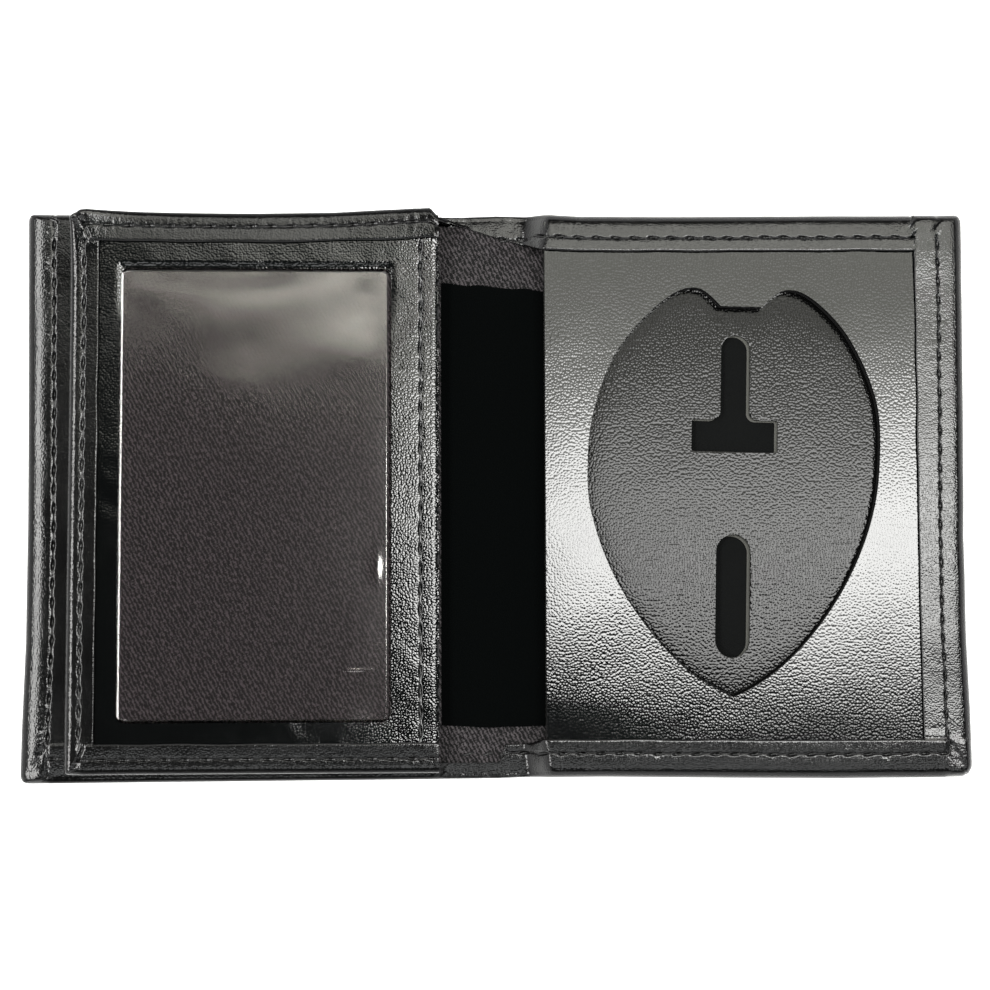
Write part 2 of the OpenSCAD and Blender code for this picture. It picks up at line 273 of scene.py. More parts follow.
def leather(name, colour, roughness, grain_mm, depth_mm, gloss, crumple_mm=0.003, softness=0.6,
            pattern="2D"):
    """Leather with a grain of small domes over soft crumples, and with fine pores.

    The pattern is 2D where a plate has pressed it, and 3D where it is the hide's own grain."""
    material, tree = new_material(name)
    place = add(tree, "ShaderNodeTexCoord").outputs["Object"]
    domes = add(tree, "ShaderNodeTexVoronoi",
                {"feature": "SMOOTH_F1", "voronoi_dimensions": pattern},
                {"Vector": place, "Scale": 1 / (grain_mm * MM), "Smoothness": softness,
                 "Randomness": 0.9})
    folds = add(tree, "ShaderNodeTexNoise", {}, {"Vector": place, "Scale": 380.0, "Detail": 3.0})
    pores = add(tree, "ShaderNodeTexNoise", {}, {"Vector": place, "Scale": 6000.0, "Detail": 1.0})
    crumpled = add(tree, "ShaderNodeBump", {},
                   {"Strength": 1.0, "Distance": crumple_mm * MM, "Height": folds.outputs["Fac"]})
    coarse = add(tree, "ShaderNodeBump", {"invert": True},
                 {"Strength": 1.0, "Distance": depth_mm * MM,
                  "Height": domes.outputs["Distance"], "Normal": crumpled.outputs[0]})
    fine = add(tree, "ShaderNodeBump", {},
               {"Strength": 1.0, "Distance": 0.0008 * MM, "Height": pores.outputs["Fac"],
                "Normal": coarse.outputs[0]})
    wear = add(tree, "ShaderNodeTexNoise", {}, {"Vector": place, "Scale": 90.0, "Detail": 4.0})
    shine = add(tree, "ShaderNodeMapRange", {},
                {"Value": wear.outputs["Fac"], "From Min": 0.3, "From Max": 0.7,
                 "To Min": 0.85 * roughness, "To Max": 1.25 * roughness})
    shader = add(tree, "ShaderNodeBsdfPrincipled", {},
                 {"Base Color": linear(colour), "Roughness": shine.outputs[0],
                  "Specular IOR Level": gloss, "Normal": fine.outputs[0]})
    add(tree, "ShaderNodeOutputMaterial", {}, {"Surface": shader.outputs[0]})
    return material


def twill(name, colour, painted_highlight_colour, wale_mm):
    """Cotton twill with steep wales, each a row of short floats, its raised yarns lighter in a
    painted highlight.

    The yarns are finer than a pixel of the photograph, so it is the wales that show."""
    material, tree = new_material(name)
    place = add(tree, "ShaderNodeTexCoord").outputs["Object"]
    turned = add(tree, "ShaderNodeMapping", {"vector_type": "TEXTURE"},
                 {"Vector": place, "Rotation": [0, 0, math.radians(28)]})
    wobble = add(tree, "ShaderNodeTexNoise", {}, {"Vector": place, "Scale": 1500.0, "Detail": 1.5})
    wales = add(tree, "ShaderNodeTexWave", {"bands_direction": "X"},
                {"Vector": turned.outputs[0], "Scale": math.pi / (10 * wale_mm * MM),
                 "Distortion": 4.5, "Detail": 2.0, "Detail Scale": 3.0})
    floats = add(tree, "ShaderNodeTexWave", {"bands_direction": "Y"},
                 {"Vector": turned.outputs[0], "Scale": math.pi / (10 * 0.6 * wale_mm * MM),
                  "Distortion": 2.0, "Detail": 1.0})
    weave = add(tree, "ShaderNodeMath", {"operation": "MULTIPLY_ADD"},
                {0: floats.outputs["Fac"], 1: 0.3, 2: wales.outputs["Fac"]})
    fuzz = add(tree, "ShaderNodeMath", {"operation": "MULTIPLY_ADD"},
               {0: wobble.outputs["Fac"], 1: 2.4, 2: weave.outputs[0]})
    # How high each place stands in the weave: the mask of the painted highlight on the raised yarns
    highlight_share = add(tree, "ShaderNodeMapRange", {},
               {"Value": fuzz.outputs[0], "From Min": 1.55, "From Max": 2.65})
    # The raised yarns get the lighter colour, a painted highlight where they would catch light
    highlight_paint = add(tree, "ShaderNodeMix", {"data_type": "RGBA"},
                {"Factor": highlight_share.outputs[0], 6: linear(colour), 7: linear(painted_highlight_colour)})
    bump = add(tree, "ShaderNodeBump", {},
               {"Strength": 1.0, "Distance": 0.08 * MM, "Height": fuzz.outputs[0]})
    shader = add(tree, "ShaderNodeBsdfPrincipled", {},
                 {"Base Color": highlight_paint.outputs[2], "Roughness": 0.85, "Specular IOR Level": 0.25,
                  "Normal": bump.outputs[0]})
    add(tree, "ShaderNodeOutputMaterial", {}, {"Surface": shader.outputs[0]})
    return material


def napped(name, colour, roughness, nap_mm, nap_depth, gloss):
    """Cloth with a short even nap, such as felt or velvet."""
    material, tree = new_material(name)
    place = add(tree, "ShaderNodeTexCoord").outputs["Object"]
    nap = add(tree, "ShaderNodeTexNoise", {},
              {"Vector": place, "Scale": 1 / (nap_mm * MM), "Detail": 4.0, "Roughness": 0.7})
    bump = add(tree, "ShaderNodeBump", {},
               {"Strength": 1.0, "Distance": nap_depth * MM, "Height": nap.outputs["Fac"]})
    shader = add(tree, "ShaderNodeBsdfPrincipled", {},
                 {"Base Color": linear(colour), "Roughness": roughness,
                  "Specular IOR Level": gloss, "Normal": bump.outputs[0]})
    add(tree, "ShaderNodeOutputMaterial", {}, {"Surface": shader.outputs[0]})
    return material


def clear_vinyl(name):
    """Clear soft vinyl: what is behind it shows, and its surface mirrors the light."""
    material, tree = new_material(name)
    place = add(tree, "ShaderNodeTexCoord").outputs["Object"]
    film = add(tree, "ShaderNodeTexNoise", {}, {"Vector": place, "Scale": 120.0, "Detail": 3.0})
    bump = add(tree, "ShaderNodeBump", {},
               {"Strength": 1.0, "Distance": 0.03 * MM, "Height": film.outputs["Fac"]})
    edge = add(tree, "ShaderNodeFresnel", {}, {"IOR": 1.54, "Normal": bump.outputs[0]})
    through = add(tree, "ShaderNodeBsdfTransparent", {}, {"Color": [0.95, 0.92, 0.93, 1]})
    mirror = add(tree, "ShaderNodeBsdfGlossy", {},
                 {"Color": [1, 1, 0.97, 1], "Roughness": 0.12, "Normal": bump.outputs[0]})
    both = add(tree, "ShaderNodeMixShader", {},
               {0: edge.outputs[0], 1: through.outputs[0], 2: mirror.outputs[0]})
    add(tree, "ShaderNodeOutputMaterial", {}, {"Surface": both.outputs[0]})
    return material


# Drum-dyed nappa: thin soft hide with a tight grain and a satin finish
nappa = leather("black_nappa_leather", "#040404", 0.16, 0.36, 0.0288, 0.42, 0.012, 0.35,
                "3D")
# Corrected hide plate-embossed with a pebble grain and sprayed with a glossy top coat
pebbled = leather("pebble_grain_leather", "#020303", 0.085, 0.5, 0.018, 0.5)
# The same plate pressed deeper, into the soft hide of the leaf
deep_pebbled = leather("deep_pebble_grain_leather", "#020303", 0.09, 0.44, 0.028, 0.5,
                       softness=0.35)
# The same embossed hide without the top coat, rubbed dull by badges
dull_pebbled = leather("dull_pebble_grain_leather", "#040404", 0.1, 0.5, 0.029, 0.17)
# Cotton drill lining, black, with a warm-tinted painted highlight on its raised yarns where they
# would catch light
drill = twill("black_cotton_drill", "#030303", "#454143", 0.72)
# Tightly cropped velvet that swallows nearly all light
velvet = napped("black_velvet_strip", "#010202", 1.0, 0.2, 0.05, 0.05)
# Pressed wool felt, matte with short fibres
felt = napped("black_felt", "#0c0d0d", 1.0, 0.18, 0.08, 0.1)
# Calendered vinyl film, wavy and glossy
vinyl = clear_vinyl("clear_vinyl_film")
# Bonded nylon thread, black with a waxy shine, its twist showing as small swellings
thread = leather("black_bonded_thread", "#0b0b0b", 0.35, 0.25, 0.05, 0.5, 0, 0.35, "3D")
# Grey fibre board with a dull cut edge
fibre_board = napped("grey_fibre_board", "#5a564e", 0.9, 0.3, 0.03, 0.2)
# The same board dyed black through, so its cut edge shows black
black_board = napped("black_dyed_board", "#070707", 0.7, 0.3, 0.03, 0.3)
# Split hide on the underside of the seat, a grey raw edge
raw_edge = napped("grey_raw_leather_edge", "#4a4a46", 0.8, 0.3, 0.03, 0.3)


# The camera stands where the photograph was taken from, a little left of the middle and tilted
camera = bpy.data.cameras.new("camera")
camera.sensor_width = 36
camera.lens = 64.32
camera.clip_start, camera.clip_end = 0.01, 20
camera_stand = bpy.data.objects.new("camera", camera)
camera_stand.location = (-0.0097899, -0.0247442, 0.340)
camera_stand.rotation_euler = (0.0729, -0.0274, -0.0035)
bpy.context.collection.objects.link(camera_stand)
bpy.context.scene.camera = camera_stand
bpy.context.scene.view_settings.view_transform = "Standard"


def soft_box(name, centre, size, radiance, colour):
    """A flat lamp in metres that faces straight down, as bright all over as radiance."""
    lamp = bpy.data.lights.new(name, "AREA")
    lamp.shape = "RECTANGLE"
    lamp.size, lamp.size_y = size
    lamp.energy = radiance * size[0] * size[1] * math.pi
    lamp.color = colour
    stand = bpy.data.objects.new(name, lamp)
    stand.location = centre
    bpy.context.collection.objects.link(stand)


# A window's light, with the paler ceiling and walls round it that the glossy leathers mirror
WINDOW_TINT = (1, 1, 0.98)
WALL_TINT = (1, 1, 0.95)
CEILING_TINT = (1, 1, 0.90)
soft_box("main_lamp", (0.345, 0.0395, 1.0), (0.66, 0.149), 22.5, WINDOW_TINT)
soft_box("main_low_lamp", (0.4, -0.06, 1.0), (0.4, 0.05), 4, WINDOW_TINT)
soft_box("upper_lamp", (0.33, 0.15, 1.0), (0.64, 0.09), 4.5, WALL_TINT)
soft_box("ceiling_lamp", (0.27, 0.36, 1.0), (0.76, 0.33), 2.9, CEILING_TINT)
soft_box("ceiling_end_lamp", (-0.09, 0.221, 1.0), (0.17, 0.06), 4.2, CEILING_TINT)
soft_box("ceiling_far_lamp", (-0.23, 0.235, 1.0), (0.11, 0.055), 2.4, CEILING_TINT)
soft_box("ceiling_glow_lamp", (-0.05, 0.243, 1.004), (0.09, 0.045), 4, CEILING_TINT)
soft_box("back_lamp", (0.1, 0.45, 1.004), (1.2, 0.24), 3, WALL_TINT)
soft_box("front_lamp", (0.1, -0.38, 1.0), (1.2, 0.17), 2.8, (0.98, 1, 1))
soft_box("left_lamp", (-0.85, 0, 1.0), (0.4, 1.0), 15, WINDOW_TINT)

world = bpy.data.worlds.new("studio")
world.use_nodes = True
bpy.context.scene.world = world
sky = world.node_tree
sky.nodes.clear()
sky_way = add(sky, "ShaderNodeTexCoord").outputs["Generated"]
sky_height = add(sky, "ShaderNodeSeparateXYZ", {}, {0: sky_way}).outputs["Z"]
sky_tone = add(sky, "ShaderNodeMapRange", {"interpolation_type": "SMOOTHSTEP"},
               {"Value": sky_height, "From Min": 0.25, "From Max": 0.75,
                "To Min": 1.5, "To Max": 0.06})
sky_light = add(sky, "ShaderNodeBackground", {},
                {"Color": [1, 1, 1, 1], "Strength": sky_tone.outputs[0]})
add(sky, "ShaderNodeOutputWorld", {}, {"Surface": sky_light.outputs[0]})

# White card on the table: it takes the shadow and shows white to the camera
card, card_tree = new_material("white_card")
ray = add(card_tree, "ShaderNodeLightPath").outputs
mirrored = add(card_tree, "ShaderNodeMath", {"operation": "ADD"},
               {0: ray["Is Glossy Ray"], 1: ray["Is Transmission Ray"]})
seen = add(card_tree, "ShaderNodeMath", {"operation": "ADD"},
           {0: ray["Is Camera Ray"], 1: mirrored.outputs[0]})
lift = add(card_tree, "ShaderNodeMath", {"operation": "MULTIPLY"}, {0: seen.outputs[0], 1: 0.7})
card_shader = add(card_tree, "ShaderNodeBsdfPrincipled", {},
                  {"Base Color": linear("#e8e8e8"), "Roughness": 0.9, "Specular IOR Level": 0.1,
                   "Emission Color": [1, 1, 1, 1], "Emission Strength": lift.outputs[0]})
add(card_tree, "ShaderNodeOutputMaterial", {}, {"Surface": card_shader.outputs[0]})
bpy.ops.object.select_all(action="DESELECT")
bpy.ops.mesh.primitive_plane_add(size=4, location=(0, 0, -0.00005))
table_top = bpy.context.object
table_top.name = "table_top"
table_top.data.materials.append(card)


# Turned-edge leather: a hide whose margins are turned in over three sides

ARC_ROWS = 13
LIP = 0.2
SEAM_BAND = 0.6
HIDE_STEP, SEAM_STEP = 0.42, 0.12


def profile_rows(thick, reach, flange, full, seam, back):
    """Distance from the edge and height of each row round the edge, one column for each place.

    The first row lies under the cover, back from the edge, and the last at the raw edge of the
    margin, whose lip is rounded. reach is how far in the edge is rounded, flange the width that
    is turned in, and full the width for which the rows lie close together at the seam."""
    one = np.ones_like(thick)
    rows = [(back * one, 0 * one)]
    for offset in (3.4, 1.2, 0.5, 0, -0.5, -1.2):
        rows.append((np.maximum(seam + offset, reach + 0.15 + 0.05 * (offset + 2)), 0 * one))
    for k in range(ARC_ROWS + 1):
        angle = math.pi * (k / ARC_ROWS - 0.5)
        rows.append((reach * (1 - math.cos(angle)), thick / 2 * (1 + math.sin(angle))))
    full_reach = reach.max()
    spots = np.concatenate([np.linspace(full_reach, seam - SEAM_BAND, 4)[1:],
                            np.linspace(seam - SEAM_BAND, seam + SEAM_BAND, 15)[1:],
                            np.linspace(seam + SEAM_BAND, full - LIP, 10)[1:]])
    for spot in spots:
        share = (spot - full_reach) / (full - LIP - full_reach)
        rows.append((reach + share * (flange - LIP - reach), thick))
    for angle in (30, 60, 90):
        turn = math.radians(angle)
        rows.append((flange - LIP * (1 - math.sin(turn)), thick - LIP * (1 - math.cos(turn))))
    return np.array([r[0] for r in rows]), np.array([r[1] for r in rows])


def spaced(start, end, step):
    """Places from start to end, about a step apart."""
    return np.linspace(start, end, int(round(abs(end - start) / step)) + 1)


def spaced_about(start, end, step, spot, fine):
    """Places from start to end, with fine steps within one millimetre of a spot."""
    way = 1 if end > start else -1
    parts = [spaced(start, spot - way, step), spaced(spot - way, spot + way, fine)[1:],
             spaced(spot + way, end, step)[1:]]
    return np.concatenate(parts)


def stitched_groove(off, along, pitch, gap):
    """Height of a narrow groove along a seam, with a deeper and wider gap at every stitch."""
    phase = (along / pitch) % 1
    hole = smooth(0.02, 0.22, phase) * (1 - smooth(0.42, 0.62, phase))
    slant = 0.5 * (phase - 0.32) * hole
    return -(0.07 + gap * hole) * np.exp(-((off - slant) / (0.12 + 0.2 * hole)) ** 4)


def bridge_edges():
    bpy.ops.mesh.select_mode(type="EDGE")
    bpy.ops.mesh.bridge_edge_loops()


class TurnedEdge:
    """One turned-in hide drawn with its open side at zero and its far side at out_x."""

    def __init__(self, name, out_x, half_y, thick, end_flange, side_flange, seams, backs, over,
                 reach, shoulder, pitch, bows):
        """thick and end_flange give the thickness and the width turned in at a place.

        Each pair holds the ends' value and the side's: seams, how far in the seams run; backs,
        how far in the leather goes underneath; reach, how far in the edge is rounded; and
        shoulder, how far the rounded edge drops. over says which margin lies on top at the
        upper and at the lower corner."""
        self.name, self.out_x, self.half_y = name, out_x, half_y
        self.seams, self.over, self.pitch, self.bows = seams, over, pitch, bows
        self.flanges = (float(end_flange(np.array([out_x]), 1)[0]), side_flange)
        self.reach, self.shoulder = reach, shoulder
        xs = spaced_about(0, out_x, HIDE_STEP, out_x - side_flange, SEAM_STEP)
        half = spaced_about(half_y, 0, HIDE_STEP, half_y - self.flanges[0], SEAM_STEP)
        ys = np.concatenate([half, -half[::-1][1:]])
        kind = np.concatenate([0 * xs, 0 * ys[1:] + 1, 0 * xs[1:] + 2])
        place = np.concatenate([xs, ys[1:], xs[::-1][1:]])
        self.columns = len(place)
        is_side = kind == 1
        along_x = np.where(is_side, out_x, place)
        side_of = np.where(kind == 0, 1, -1)
        thickness = thick(along_x)
        end_w = np.where(kind == 0, end_flange(along_x, 1), end_flange(along_x, -1))
        end_w = np.maximum(np.where(is_side, self.flanges[0], end_w), 0.9)
        wave = 0.06 * ripple_along(place, 22, 5) * bell(place / half_y, 0.9) * is_side
        side_w = side_flange + wave
        end_reach = np.minimum(reach[0], 0.55 * end_w)
        side_reach = np.full_like(end_reach, reach[1])
        end_u, height = profile_rows(thickness, end_reach, end_w, self.flanges[0], seams[0],
                                     backs[0])
        side_u = profile_rows(thickness, side_reach, side_w, side_flange, seams[1], backs[1])[0]
        one = np.ones(1)
        corner_t = thick(out_x * one)
        corner_end = profile_rows(corner_t, reach[0] * one, self.flanges[0] * one, self.flanges[0],
                                  seams[0], backs[0])[0]
        corner_side = profile_rows(corner_t, reach[1] * one, side_flange * one, side_flange,
                                   seams[1], backs[1])[0]
        self.rows = len(height)
        x_end = place * (out_x - corner_side) / out_x
        y_side = place * (half_y - corner_end) / half_y
        x = np.where(is_side, out_x - side_u, x_end)
        y = np.where(is_side, y_side, side_of * (half_y - end_u))
        self.x, self.y, self.z = x.ravel(), y.ravel(), height.ravel()
        self.u_side = out_x - self.x
        self.u_end = half_y - np.abs(self.y)
        self.thick = np.broadcast_to(thickness, height.shape).ravel()
        self.on_top = smooth(0.45, 0.95, self.z / self.thick)

    def rounded(self, radii):
        """The rows' places with each far corner drawn in to its radius, and the edges bowed."""
        x, y = self.x.copy(), self.y.copy()
        for sign, radius in zip((1, -1), radii):
            p = x - (self.out_x - radius)
            q = sign * y - (self.half_y - radius)
            inside = (p > 0) & (q > 0)
            share = np.where(inside, np.maximum(p, q) / np.maximum(np.hypot(p, q), 1e-9), 1)
            x = np.where(inside, self.out_x - radius + p * share, x)
            y = np.where(inside, sign * (self.half_y - radius + q * share), y)
        top_bow, foot_bow, side_bow = self.bows
        end_bow = np.where(self.y > 0, np.interp(self.x, *top_bow), -np.interp(self.x, *foot_bow))
        y += end_bow * (1 - smooth(3, 14, self.u_end))
        x += np.interp(self.y, *side_bow) * (1 - smooth(3, 14, self.u_side))
        return x, y

    def gates(self):
        """Where each seam shows, and where one turned edge lies over the other at a corner."""
        end_w, side_w = self.flanges
        end_gate = smooth(self.seams[1] - 0.6, self.seams[1] + 0.1, self.u_side)
        side_gate = smooth(self.seams[0] - 0.6, self.seams[0] + 0.1, self.u_end)
        step = np.zeros_like(self.x)
        for sign, over in zip((1, -1), self.over):
            near = sign * self.y > 0
            by_side = smooth(side_w - 0.08, side_w + 0.08, self.u_side)
            by_end = smooth(end_w - 0.08, end_w + 0.08, self.u_end)
            if over == "side":
                end_gate = np.where(near, end_gate * by_side, end_gate)
                side_gate = np.where(near, 1, side_gate)
                laid = near * (1 - smooth(end_w - 1, end_w + 8, self.u_end))
                step += laid * ((1 - by_side) - 0.6 * bell(self.u_side - side_w - 0.2, 0.22))
            else:
                side_gate = np.where(near, side_gate * by_end, side_gate)
                laid = near * (1 - smooth(side_w - 1, side_w + 8, self.u_side))
                laid *= smooth(self.seams[1] - 0.2, self.seams[1] + 0.6, self.u_side)
                step += laid * ((1 - by_end) - 0.6 * bell(self.u_end - end_w - 0.2, 0.22))
        return end_gate, side_gate, step

    def seam_relief(self, sag, gap, seed):
        """The hollow that each seam pulls into the leather, with a gap at every stitch."""
        relief = np.zeros_like(self.x)
        drawn_in = np.zeros_like(self.x)
        end_gate, side_gate, step = self.gates()
        for u, seam, reach, shoulder, along, gate in (
                (self.u_end, self.seams[0], self.reach[0], self.shoulder[0], self.x, end_gate),
                (self.u_side, self.seams[1], self.reach[1], self.shoulder[1], self.y, side_gate)):
            off = u - seam - 0.03 * ripple_along(along, 15, seed)
            dome = np.clip((u - reach) / (seam - reach), 0, 1) ** 2
            relief -= gate * sag * np.where(off < 0, dome, np.exp(-np.abs(off) / 0.25))
            relief += gate * stitched_groove(off, along, self.pitch, gap)
            pucker = ripple_along(along, 1.3, seed + 1) * np.exp(-np.abs(off) / 0.9)
            drawn_in += gate * shoulder * np.clip(1 - u / seam, 0, 1)
            if u is self.u_end:
                stand = 1 - smooth(self.flanges[0], self.flanges[0] + 2, u)
                relief += gate * 0.045 * np.maximum(off, 0) * stand
            relief += gate * pucker * 0.015
            folds = ripple_along(along, 1.0, seed + 5) * ripple_along(along, 9, seed + 6)
            relief += gate * 0.012 * folds * bell(off + 1.2, 1.3)
        points = np.stack([self.x, self.y, self.z], -1)
        relief += 0.02 * ripple(points, 12, seed + 2) + 0.005 * ripple(points, 2.5, seed + 3)
        wrinkles = ripple(points, 2, seed + 4, (1, 3, 3)) * bell(self.u_end - 1.8, 2.2)
        relief += 0.04 * (1 - smooth(5, 10, self.x)) * wrinkles
        mitre = bell(self.u_side - 1.3 - 0.49 * self.u_end, 0.25)
        mitre *= 1 - smooth(self.flanges[0] - 0.6, self.flanges[0], self.u_end)
        for sign, over in zip((1, -1), self.over):
            relief -= 0.3 * mitre * (sign * self.y > 0) * (over == "end")
        relief = relief * smooth(0, 0.8, self.x) * self.on_top
        relief -= drawn_in * smooth(0.8, 1, self.z / self.thick)
        return relief + step * 0.18 * smooth(0.5, 0.9, self.z / self.thick)

    def back_relief(self, depth):
        """The valley of the same seam on the outside."""
        under = self.z <= 1e-6
        valley = np.maximum(bell(self.u_end - self.seams[0], 0.45),
                            bell(self.u_side - self.seams[1], 0.45))
        return -depth * under * valley

    def make(self, place, radii, reliefs, fill_x, whole_back):
        """Builds the hide. place turns drawn places into the model's own.

        Its underside is closed from the spine out to fill_x, or all over for a whole back."""
        x, y = self.rounded(radii)
        piece = new_grid(self.name, self.columns, self.rows)
        set_points(piece, place(np.stack([x, y, self.z], -1)))
        lowest = np.zeros(len(x), bool)
        lowest[:self.columns] = True
        near = lowest & (self.x <= fill_x + 1e-6)
        select_edges(piece, near)
        in_edit_mode(piece, bridge_edges, False)
        if whole_back:
            select_edges(piece, lowest & (self.x >= self.x[near].max() - 1e-6))
            in_edit_mode(piece, bpy.ops.mesh.edge_face_add, False)
        in_edit_mode(piece, face_outwards)
        if piece.data.polygons[0].normal.z > 0:
            in_edit_mode(piece, bpy.ops.mesh.flip_normals)
        normals = normals_of(piece)
        apply_modifier(piece, "SOLIDIFY", thickness=LEATHER_T * MM, offset=-1)
        points = get_points(piece)
        points[:len(normals)] += normals * reliefs[:, None]
        set_points(piece, points)
        return piece


def drawn_left(points):
    """Turns a hide drawn towards the right over to the left cover."""
    return points * np.array([-1, 1, 1])


def left_thick(x):
    return SPINE_T + (LEFT_T - SPINE_T) * smooth(10, 13, x)


def right_thick(x):
    return SPINE_T + (RIGHT_T - SPINE_T) * smooth(5, 10.5, x)


def flange_wave(x, start, seed):
    """The slight waviness of the raw edge along a cover's end."""
    return 0.05 * ripple_along(x, 18, seed) * smooth(start, 20, x) * smooth(0, 12, OUT_X - x)


def left_flange(x, side):
    """How wide the left cover's end is turned in, narrower at the spine."""
    spine = 4.6 - 0.31 * x if side > 0 else 3.2 + 0 * x
    return spine + (END_FLANGE - spine) * smooth(12, 16, x) + flange_wave(x, 14, 31 + side)


def right_flange(x, side):
    """How wide the right cover's end is turned in, narrower at the spine."""
    spine = 4.6 + 0.22 * x if side > 0 else 3.2 + 3.2 * smooth(0.2, 1.6, x)
    return spine + (END_FLANGE - spine) * smooth(6, 10, x) + flange_wave(x, 12, 41 + side)


# How far the real edges stray outwards from a straight line: places and distances for the
# upper end, the lower end and the side
LEFT_BOWS = (([0, 8, 60, 90], [0.3, 0, 0, 0.15]), ([0, 20, 60, 90], [0, 0.1, 0.3, 0.45]),
             ([-54, -44, -28, -5, 15, 40, 54], [0.05, -0.1, -0.6, -0.65, -0.45, -0.1, 0.1]))
RIGHT_BOWS = (([0, 8, 16, 35, 60, 90], [0.3, 0.15, -0.35, -0.35, -0.15, 0]),
              ([0, 8, 20, 45, 65, 90], [0, -0.3, -0.35, 0, 0.2, 0]),
              ([-54, -40, -28, -8, 10, 35, 54], [0, -0.2, -0.6, -0.65, -0.3, 0, 0]))
# How deep a seam pulls the leather down, above and on the outside, and how deep its holes are
SEAM_SAG, HOLE_DEPTH, BACK_SAG = 0.14, 0.35, 0.3
SPINE_FILL_X = 13
COVER_BACK = 20


def cover_hide(name, thick, flange, reach, shoulder, bows, seed, place, radii, body, node):
    """The shell of one cover with its half of the spine."""
    edge = TurnedEdge(name, OUT_X, HALF_Y, thick, flange, SIDE_FLANGE, (END_SEAM, SIDE_SEAM),
                      (COVER_BACK, COVER_BACK), ("side", "end"), reach, shoulder, STITCH_PITCH,
                      bows)
    relief = edge.seam_relief(SEAM_SAG, HOLE_DEPTH, seed) + edge.back_relief(BACK_SAG)
    hide = edge.make(place, radii, relief, SPINE_FILL_X, True)
    finish_piece(hide, nappa, "shell_leather", body, node, "spine_leather")


cover_hide("left_cover_hide", left_thick, left_flange, (1.5, 4.3), (0.5, 0.05), LEFT_BOWS, 100,
           drawn_left, (1.2, 1.6), to_left, "left_cover_leather")
cover_hide("right_cover_hide", right_thick, right_flange, (1.5, 1.9), (0.5, 0.4), RIGHT_BOWS, 200,
           np.copy, (1.6, 2.6), to_right, "right_cover_leather")


# Flat layers

def layer(name, low, high, step, height=None, fine_x=(), fine_y=()):
    """A flat sheet that fills the box between two corners, its upper side shaped by height.

    Its lines lie close together round the places in fine_x and fine_y."""
    xs, ys = (np.unique(np.concatenate([spaced(low[i], high[i], step)]
                                       + [spaced(f - 1, f + 1, 0.1) for f in fine]))
              for i, fine in enumerate((fine_x, fine_y)))
    piece = new_grid(name, len(xs), len(ys))
    x, y = (a.ravel() for a in np.meshgrid(xs, ys))
    z = high[2] + (height(x, y) if height else 0 * x)
    set_points(piece, np.stack([x, y, z], -1))
    thicken(piece, high[2] - low[2])
    return piece


def cutter(outline, low, high):
    """A prism with the plan of an outline, to cut through a layer."""
    bpy.ops.object.select_all(action="DESELECT")
    bpy.ops.mesh.primitive_circle_add(vertices=len(outline), radius=1, fill_type="NGON")
    prism = bpy.context.object
    set_points(prism, np.column_stack([outline, np.full(len(outline), low)]))
    lift = {"value": (0, 0, (high - low) * MM)}
    in_edit_mode(prism, lambda: bpy.ops.mesh.extrude_region_move(TRANSFORM_OT_translate=lift))
    in_edit_mode(prism, face_outwards)
    return prism


def cut_through(piece, outline, lip=0):
    """Cuts an outline out of a layer and rounds the lip of the cut."""
    heights = get_points(piece)[:, 2]
    prism = cutter(outline, heights.min() - 1, heights.max() + 1)
    apply_modifier(piece, "BOOLEAN", operation="DIFFERENCE", object=prism, solver="EXACT")
    bpy.data.objects.remove(prism)
    if lip:
        apply_modifier(piece, "BEVEL", width=lip * MM, segments=3, limit_method="ANGLE",
                       angle_limit=math.radians(50))


def bend_of(points, steps):
    """Places along a curve with four control points, without its last one."""
    t = np.arange(steps)[:, None] / steps
    p = np.array(points, float)
    return ((1 - t) ** 3 * p[0] + 3 * (1 - t) ** 2 * t * p[1] + 3 * (1 - t) * t ** 2 * p[2]
            + t ** 3 * p[3])


# The shield cut-out, and how far below its top the two pin slots start
SHIELD_W, SHIELD_H = 55.0, 78.0
SHIELD_PLACE = np.array([45.3, 0.3])
SHIELD_LEAN = math.radians(-1.5)
T_SLOT_DROP, OBLONG_DROP = 8.7, 47.2


def on_shield(outline):
    """Turns and moves an upright outline to the place of the badge recess."""
    c, s = math.cos(SHIELD_LEAN), math.sin(SHIELD_LEAN)
    return outline @ np.array([[c, s], [-s, c]]) + SHIELD_PLACE


def shield_outline():
    """A pointed shield with two humps at its top, a little fuller than even at both sides.

    Its half is drawn from the point upwards, in shares of half its width and of its height."""
    lower = [[0, 0], [0.5, 0.07], [1, 0.34], [1, 0.576]]
    upper = [[1, 0.576], [1, 0.8], [0.58, 1], [0.35, 1]]
    hump = [[0.35, 1], [0.285, 1], [0.27, 1], [0.138, 0.956]]
    half = np.vstack([bend_of(lower, 34), bend_of(upper, 30), bend_of(hump, 14), [hump[3]]])
    right = half * np.array([SHIELD_W / 2, SHIELD_H])
    left = right[:0:-1] * np.array([-1, 1])
    x, y = (np.vstack([right, left]) - np.array([0, SHIELD_H / 2])).T
    top = smooth(30, 38, y)
    right_fuller = 1.1 * smooth(4, 20, y) * (1 - top)
    left_fuller = (0.85 * smooth(-39, -34, y) * (1 - smooth(24, 34, y))
                   + 0.5 * smooth(-32, -14, y) * (1 - smooth(-4, 6, y)))
    wider = np.where(x > 0, right_fuller, -left_fuller)
    return on_shield(np.column_stack([x + 0.6 * top + wider, y]))


def arc(centre, radius, start, end, steps):
    """Places round part of a circle, by angles in degrees."""
    angle = np.radians(np.linspace(start, end, steps))
    return np.column_stack([centre[0] + radius * np.cos(angle), centre[1] + radius * np.sin(angle)])


